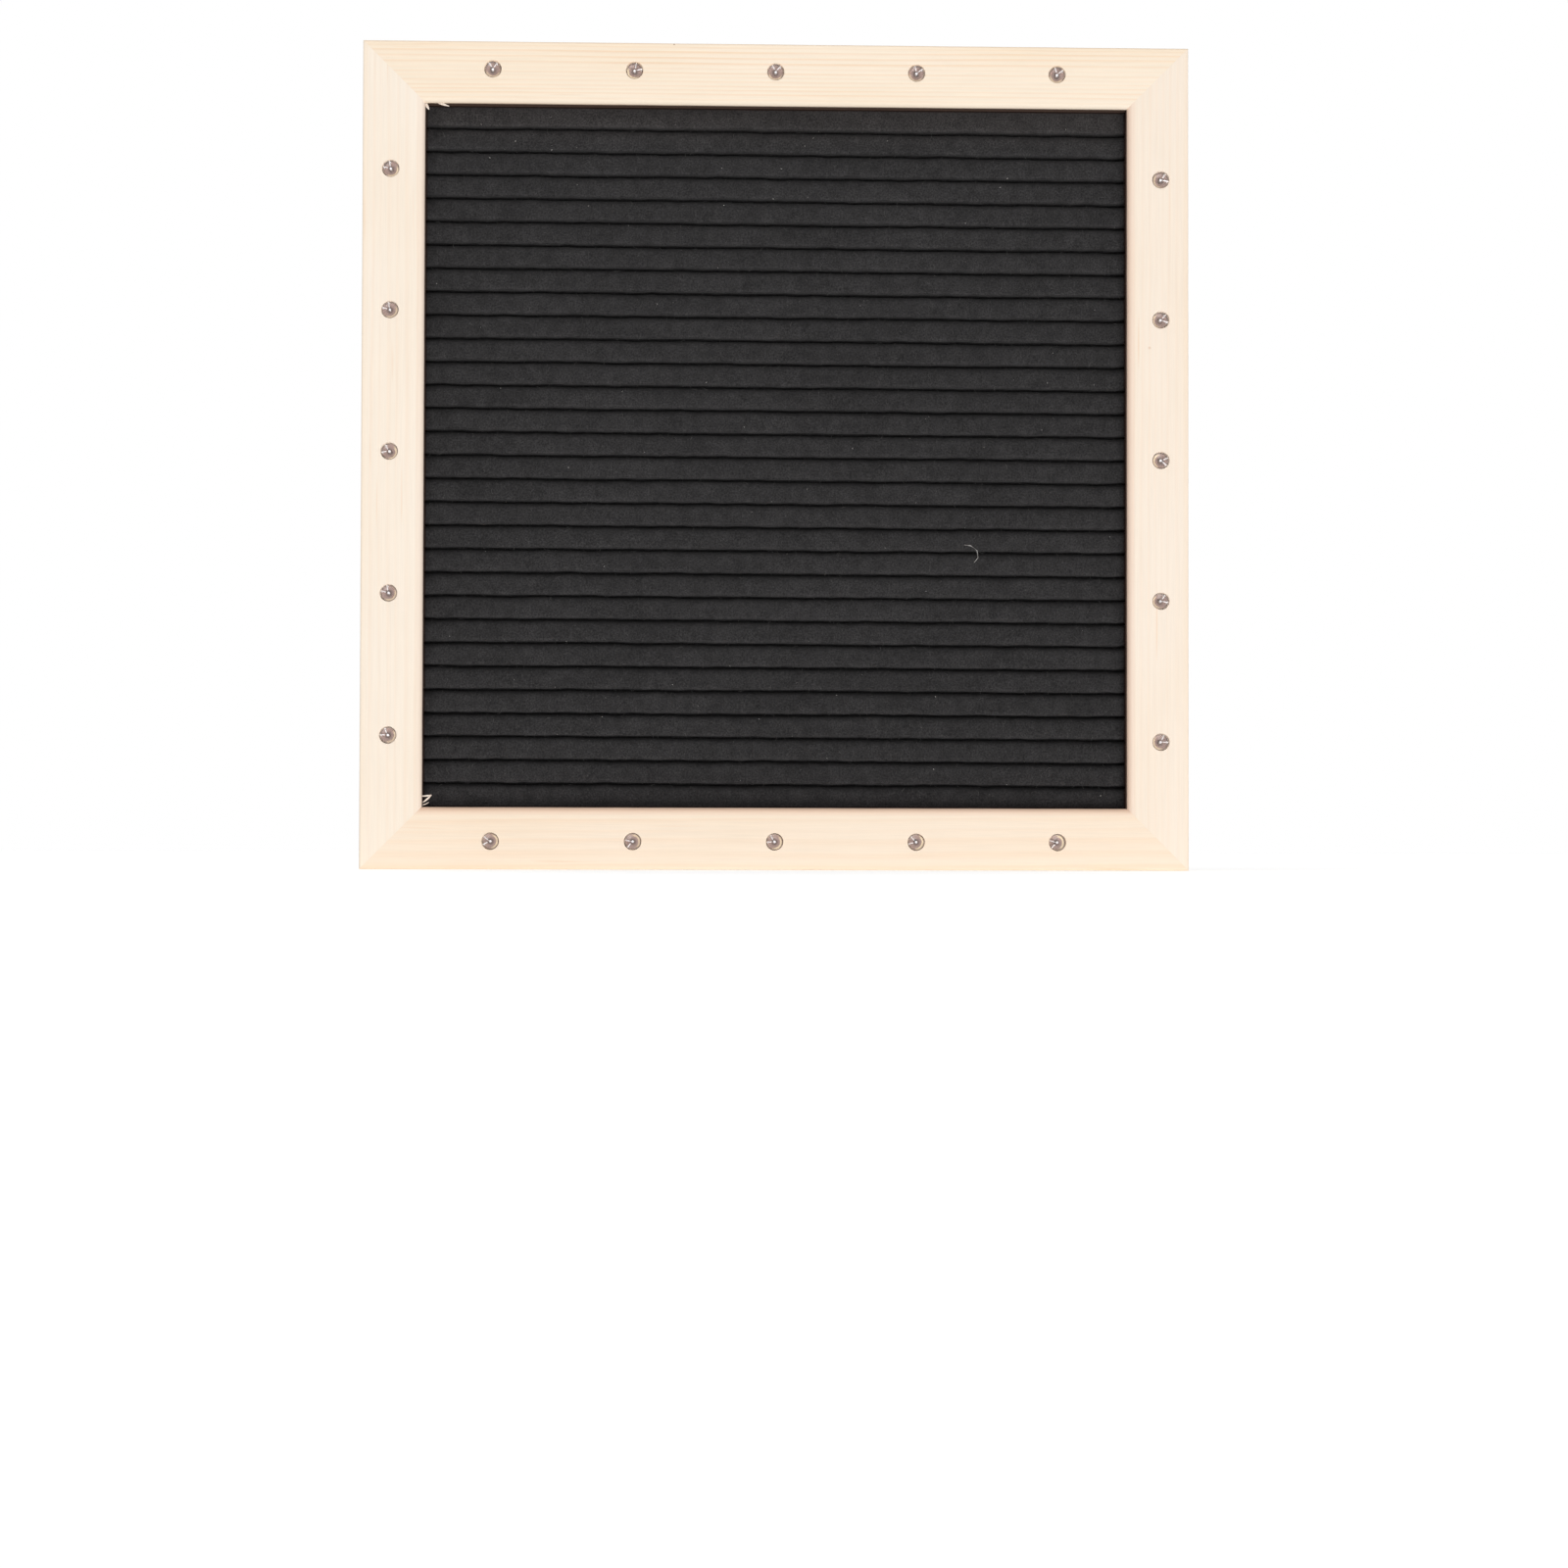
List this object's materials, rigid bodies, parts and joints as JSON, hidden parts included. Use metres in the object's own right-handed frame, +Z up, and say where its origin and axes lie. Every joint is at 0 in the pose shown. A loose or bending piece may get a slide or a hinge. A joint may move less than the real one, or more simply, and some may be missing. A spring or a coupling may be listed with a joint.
{
  "type": "felt letter board",
  "caption": "Square pine-framed board with a slotted black felt face for push-in letters, small round lights round the frame and a battery tray behind.",
  "frame": {"origin": "middle of the flat underside that the board stands on", "axes": "+Z up, +X to the right seen from the letters' side, and the letters' side faces -Y"},
  "size_m": [0.254, 0.0274, 0.254],
  "materials": {
    "pine": "bare sanded pine, pale and warm",
    "felt": "black felt, matt and slightly fuzzy",
    "fibreboard": "fibreboard with sawn slots",
    "hardboard": "hardboard, smooth side out",
    "clear_resin": "clear cast resin",
    "red_insulation": "wire insulation",
    "black_insulation": "wire insulation",
    "black_plastic": "moulded plastic, fine grain",
    "white_plastic": "moulded plastic",
    "steel": "bright drawn steel",
    "nickel": "nickel-plated sheet"
  },
  "bodies": {
    "board": {"top_rail": "pine", "bottom_rail": "pine", "left_stile": "pine", "right_stile": "pine", "felt_face": "felt", "slotted_core": "fibreboard", "back_board": "hardboard", "led_bottom_1": "clear_resin", "led_bottom_2": "clear_resin", "led_bottom_3": "clear_resin", "led_bottom_4": "clear_resin", "led_bottom_5": "clear_resin", "led_left_1": "clear_resin", "led_left_2": "clear_resin", "led_left_3": "clear_resin", "led_left_4": "clear_resin", "led_left_5": "clear_resin", "led_right_1": "clear_resin", "led_right_2": "clear_resin", "led_right_3": "clear_resin", "led_right_4": "clear_resin", "led_right_5": "clear_resin", "led_top_1": "clear_resin", "led_top_2": "clear_resin", "led_top_3": "clear_resin", "led_top_4": "clear_resin", "led_top_5": "clear_resin", "wire_positive": "red_insulation", "wire_negative": "black_insulation", "battery_tray": "black_plastic", "switch_body": "steel", "back_pin_bottom_1": "steel", "back_pin_bottom_2": "steel", "back_pin_left_1": "steel", "back_pin_left_2": "steel", "back_pin_right_1": "steel", "back_pin_right_2": "steel", "back_pin_top_1": "steel", "back_pin_top_2": "steel", "corner_v_nail_bottom": "steel", "corner_v_nail_left": "steel", "corner_v_nail_right": "steel", "corner_v_nail_top": "steel", "panel_point_bottom_1": "steel", "panel_point_bottom_2": "steel", "panel_point_left_1": "steel", "panel_point_left_2": "steel", "panel_point_right_1": "steel", "panel_point_right_2": "steel", "panel_point_top_1": "steel", "panel_point_top_2": "steel", "sawtooth_hanger": "nickel", "hanger_rivet_1": "nickel", "hanger_rivet_2": "nickel", "contact_negative": "nickel", "contact_link_left": "nickel", "contact_link_right": "nickel", "contact_positive": "nickel"},
    "cover": {"battery_cover": "black_plastic"},
    "slider": {"switch_slider": "white_plastic"}
  },
  "joints": [
    {"name": "cover_slide", "type": "slide", "parent": "board", "child": "cover", "axis": [1, 0, 0], "range_m": [0, 0.0534]},
    {"name": "switch_slide", "type": "slide", "parent": "board", "child": "slider", "axis": [1, 0, 0], "range_m": [0, 0.002]}
  ]
}
